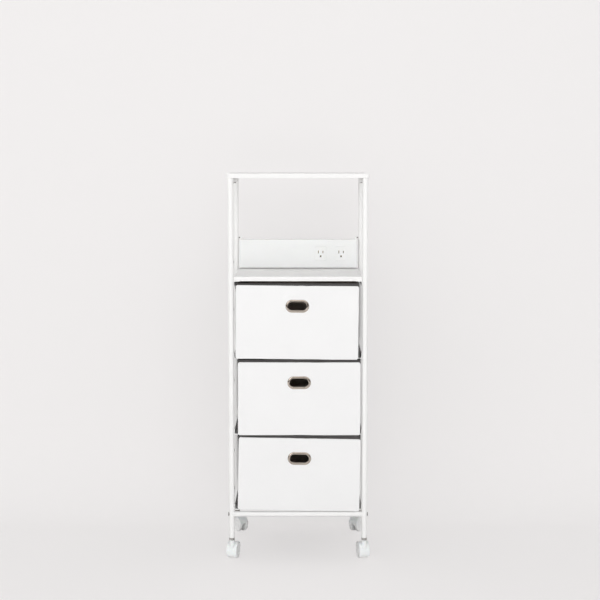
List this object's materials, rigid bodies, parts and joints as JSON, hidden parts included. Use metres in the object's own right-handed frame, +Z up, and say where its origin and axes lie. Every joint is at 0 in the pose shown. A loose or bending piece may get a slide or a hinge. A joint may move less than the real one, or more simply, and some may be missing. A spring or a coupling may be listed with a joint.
{
  "type": "rolling drawer cart",
  "caption": "Tall narrow rolling cart: tube frame with fabric drawers on runners, an open bay with a power panel, a flat top board and swivel casters.",
  "frame": {"origin": "on the floor under the middle of the four posts", "axes": "+X to the viewer's right when facing the drawers, -Y towards the viewer, +Z up"},
  "size_m": [0.3838, 0.3145, 1.027],
  "materials": {
    "white_powder_coat": "satin white powder coat",
    "dark_steel": "dark zinc",
    "white_laminate": "white laminate on fibreboard, satin",
    "panel_plastic": "white moulded",
    "contact_brass": "plain",
    "front_fabric": "white woven cover on a stiff board",
    "body_fabric": "charcoal non-woven on stiff boards",
    "grommet_chrome": "polished",
    "base_panel": "thin board, matt",
    "caster_plastic": "white moulded",
    "wheel_plastic": "white moulded"
  },
  "bodies": {
    "frame": {"front_left_post": "white_powder_coat", "front_right_post": "white_powder_coat", "rear_left_post": "white_powder_coat", "rear_right_post": "white_powder_coat", "left_top_rail": "white_powder_coat", "right_top_rail": "white_powder_coat", "left_runners": "white_powder_coat", "right_runners": "white_powder_coat", "front_bottom_rail": "white_powder_coat", "rear_bottom_rail": "white_powder_coat", "rear_tie_bars": "white_powder_coat", "rail_inserts": "dark_steel", "frame_screws": "dark_steel", "top_board": "white_laminate", "middle_board": "white_laminate", "board_screws": "dark_steel", "power_panel_housing": "panel_plastic", "power_panel_rear_cover": "panel_plastic", "power_panel_screws": "dark_steel", "left_receptacle": "panel_plastic", "right_receptacle": "panel_plastic", "receptacle_contacts": "contact_brass", "cord_gland": "panel_plastic", "post_foot_inserts": "dark_steel", "caster_stems": "dark_steel", "caster_nuts": "dark_steel"},
    "drawer_1": {"drawer_1_body": "body_fabric", "drawer_1_front": "front_fabric", "drawer_1_grommet": "grommet_chrome", "drawer_1_grommet_washer": "grommet_chrome", "drawer_1_base_board": "base_panel"},
    "drawer_2": {"drawer_2_body": "body_fabric", "drawer_2_front": "front_fabric", "drawer_2_grommet": "grommet_chrome", "drawer_2_grommet_washer": "grommet_chrome", "drawer_2_base_board": "base_panel"},
    "drawer_3": {"drawer_3_body": "body_fabric", "drawer_3_front": "front_fabric", "drawer_3_grommet": "grommet_chrome", "drawer_3_grommet_washer": "grommet_chrome", "drawer_3_base_board": "base_panel"},
    "front_left_caster": {"front_left_caster_hood": "caster_plastic", "front_left_caster_axle": "dark_steel"},
    "front_left_caster_outer_wheel": {"front_left_caster_outer_wheel": "wheel_plastic"},
    "front_left_caster_inner_wheel": {"front_left_caster_inner_wheel": "wheel_plastic"},
    "front_right_caster": {"front_right_caster_hood": "caster_plastic", "front_right_caster_axle": "dark_steel"},
    "front_right_caster_outer_wheel": {"front_right_caster_outer_wheel": "wheel_plastic"},
    "front_right_caster_inner_wheel": {"front_right_caster_inner_wheel": "wheel_plastic"},
    "rear_left_caster": {"rear_left_caster_hood": "caster_plastic", "rear_left_caster_axle": "dark_steel"},
    "rear_left_caster_outer_wheel": {"rear_left_caster_outer_wheel": "wheel_plastic"},
    "rear_left_caster_inner_wheel": {"rear_left_caster_inner_wheel": "wheel_plastic"},
    "rear_right_caster": {"rear_right_caster_hood": "caster_plastic", "rear_right_caster_axle": "dark_steel"},
    "rear_right_caster_outer_wheel": {"rear_right_caster_outer_wheel": "wheel_plastic"},
    "rear_right_caster_inner_wheel": {"rear_right_caster_inner_wheel": "wheel_plastic"}
  },
  "joints": [
    {"name": "drawer_1_slide", "type": "slide", "parent": "frame", "child": "drawer_1", "axis": [0, -1, 0], "range_m": [0, 0.2]},
    {"name": "drawer_2_slide", "type": "slide", "parent": "frame", "child": "drawer_2", "axis": [0, -1, 0], "range_m": [0, 0.2]},
    {"name": "drawer_3_slide", "type": "slide", "parent": "frame", "child": "drawer_3", "axis": [0, -1, 0], "range_m": [0, 0.2]},
    {"name": "front_left_caster_swivel", "type": "hinge", "parent": "frame", "child": "front_left_caster", "pos_m": [-0.1765, -0.145, 0.0515], "axis": [0, 0, 1], "continuous": true},
    {"name": "front_left_caster_outer_wheel_spin", "type": "hinge", "parent": "front_left_caster", "child": "front_left_caster_outer_wheel", "pos_m": [-0.17317, -0.12935, 0.02], "axis": [0.9781, -0.2079, 0], "continuous": true},
    {"name": "front_left_caster_inner_wheel_spin", "type": "hinge", "parent": "front_left_caster", "child": "front_left_caster_inner_wheel", "pos_m": [-0.17317, -0.12935, 0.02], "axis": [0.9781, -0.2079, 0], "continuous": true},
    {"name": "front_right_caster_swivel", "type": "hinge", "parent": "frame", "child": "front_right_caster", "pos_m": [0.1765, -0.145, 0.0515], "axis": [0, 0, 1], "continuous": true},
    {"name": "front_right_caster_outer_wheel_spin", "type": "hinge", "parent": "front_right_caster", "child": "front_right_caster_outer_wheel", "pos_m": [0.17317, -0.12935, 0.02], "axis": [0.9781, 0.2079, 0], "continuous": true},
    {"name": "front_right_caster_inner_wheel_spin", "type": "hinge", "parent": "front_right_caster", "child": "front_right_caster_inner_wheel", "pos_m": [0.17317, -0.12935, 0.02], "axis": [0.9781, 0.2079, 0], "continuous": true},
    {"name": "rear_left_caster_swivel", "type": "hinge", "parent": "frame", "child": "rear_left_caster", "pos_m": [-0.1765, 0.145, 0.0515], "axis": [0, 0, 1], "continuous": true},
    {"name": "rear_left_caster_outer_wheel_spin", "type": "hinge", "parent": "rear_left_caster", "child": "rear_left_caster_outer_wheel", "pos_m": [-0.16732, 0.13189, 0.02], "axis": [-0.8192, -0.5736, 0], "continuous": true},
    {"name": "rear_left_caster_inner_wheel_spin", "type": "hinge", "parent": "rear_left_caster", "child": "rear_left_caster_inner_wheel", "pos_m": [-0.16732, 0.13189, 0.02], "axis": [-0.8192, -0.5736, 0], "continuous": true},
    {"name": "rear_right_caster_swivel", "type": "hinge", "parent": "frame", "child": "rear_right_caster", "pos_m": [0.1765, 0.145, 0.0515], "axis": [0, 0, 1], "continuous": true},
    {"name": "rear_right_caster_outer_wheel_spin", "type": "hinge", "parent": "rear_right_caster", "child": "rear_right_caster_outer_wheel", "pos_m": [0.16732, 0.13189, 0.02], "axis": [-0.8192, 0.5736, 0], "continuous": true},
    {"name": "rear_right_caster_inner_wheel_spin", "type": "hinge", "parent": "rear_right_caster", "child": "rear_right_caster_inner_wheel", "pos_m": [0.16732, 0.13189, 0.02], "axis": [-0.8192, 0.5736, 0], "continuous": true}
  ]
}
